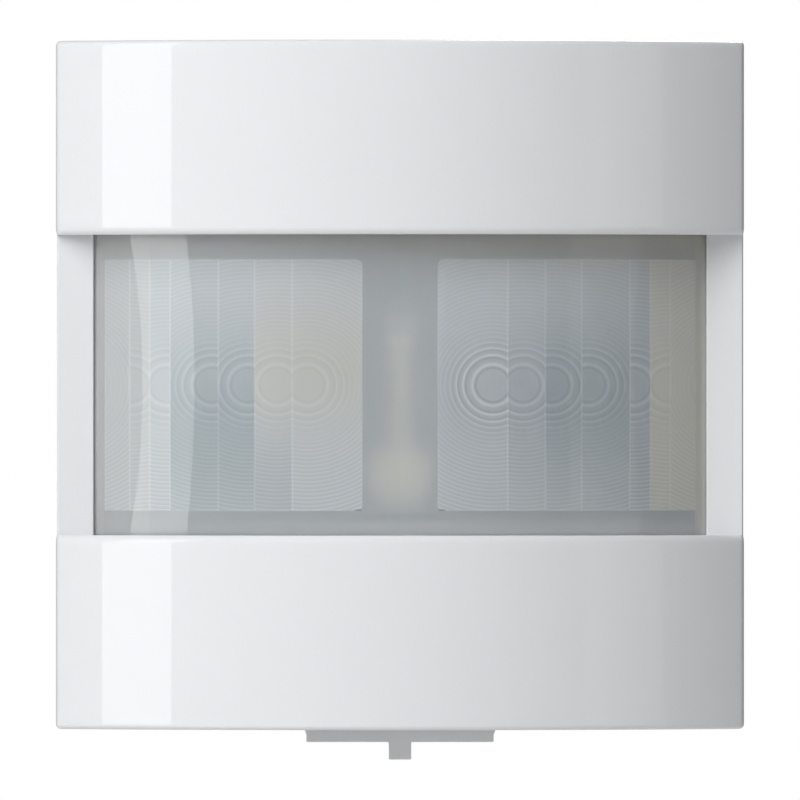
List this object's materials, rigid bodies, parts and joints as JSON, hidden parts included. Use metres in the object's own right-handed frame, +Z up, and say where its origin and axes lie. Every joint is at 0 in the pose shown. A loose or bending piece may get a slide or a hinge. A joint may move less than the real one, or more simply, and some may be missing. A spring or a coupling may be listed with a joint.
{
  "type": "motion sensor",
  "caption": "Plug-on infrared motion detector for a wall frame: curved white cover, recessed ringed lens, lock slider and setting dials at the back.",
  "frame": {"origin": "centre of the cover's rear rim, in the plane of the rim", "axes": "+Y out of the back towards the wall, +Z up, +X to the right seen from the front"},
  "size_m": [0.055, 0.0298, 0.0575],
  "materials": {
    "cover_white": "gloss",
    "lens_milky": "satin",
    "frame_grey": "satin",
    "channel_grey": "matte",
    "guide_ivory": "satin",
    "carrier_cream": "satin",
    "can_steel": "satin",
    "filter_dark": "gloss",
    "element_ceramic": "matte",
    "lead_gold": "satin",
    "lamp_clear": "gloss",
    "chip_black": "matte",
    "board_green": "satin",
    "crystal_metal": "satin",
    "capacitor_blue": "satin",
    "component_tan": "matte",
    "screw_steel": "satin",
    "plug_black": "matte",
    "housing_grey": "matte",
    "dial_blue": "satin",
    "rotor_white": "satin",
    "slider_grey": "matte",
    "spring_steel": "satin"
  },
  "bodies": {
    "housing": {"front_cover": "cover_white", "fresnel_lens": "lens_milky", "lens_retainer": "frame_grey", "light_baffle": "channel_grey", "light_guide": "guide_ivory", "sensor_carrier": "carrier_cream", "pir_can_left": "can_steel", "pir_can_right": "can_steel", "pir_filter_left": "filter_dark", "pir_filter_right": "filter_dark", "pir_element_left": "element_ceramic", "pir_element_right": "element_ceramic", "pir_leads": "lead_gold", "header_pins": "lead_gold", "status_led": "lamp_clear", "light_sensor": "chip_black", "microcontroller": "chip_black", "amplifier_chip": "chip_black", "main_board": "board_green", "crystal": "crystal_metal", "capacitors": "capacitor_blue", "chip_components": "component_tan", "board_screws": "screw_steel", "header_body": "plug_black", "rear_housing": "housing_grey", "time_pot_body": "dial_blue", "light_pot_body": "dial_blue", "range_pot_body": "dial_blue"},
    "time_dial": {"time_pot_rotor": "rotor_white"},
    "light_dial": {"light_pot_rotor": "rotor_white"},
    "range_dial": {"range_pot_rotor": "rotor_white"},
    "slider": {"lock_slider": "slider_grey"},
    "spring_left": {"retaining_spring_left": "spring_steel"},
    "spring_right": {"retaining_spring_right": "spring_steel"}
  },
  "joints": [
    {"name": "time_turn", "type": "hinge", "parent": "housing", "child": "time_dial", "pos_m": [-0.012, 0.005, 0.014], "axis": [0, 1, 0], "range_deg": [-135, 135]},
    {"name": "light_turn", "type": "hinge", "parent": "housing", "child": "light_dial", "pos_m": [0, 0.005, 0.014], "axis": [0, 1, 0], "range_deg": [-135, 135]},
    {"name": "range_turn", "type": "hinge", "parent": "housing", "child": "range_dial", "pos_m": [0.012, 0.005, 0.014], "axis": [0, 1, 0], "range_deg": [-135, 135]},
    {"name": "lock_slide", "type": "slide", "parent": "housing", "child": "slider", "axis": [0, 0, 1], "range_m": [0, 0.0024]},
    {"name": "spring_left_flex", "type": "hinge", "parent": "housing", "child": "spring_left", "pos_m": [-0.023, 0.0003, 0], "axis": [0, 0, -1], "range_deg": [0, 5], "stiffness_Nm_per_rad": 0.05},
    {"name": "spring_right_flex", "type": "hinge", "parent": "housing", "child": "spring_right", "pos_m": [0.023, 0.0003, 0], "axis": [0, 0, 1], "range_deg": [0, 5], "stiffness_Nm_per_rad": 0.05}
  ]
}
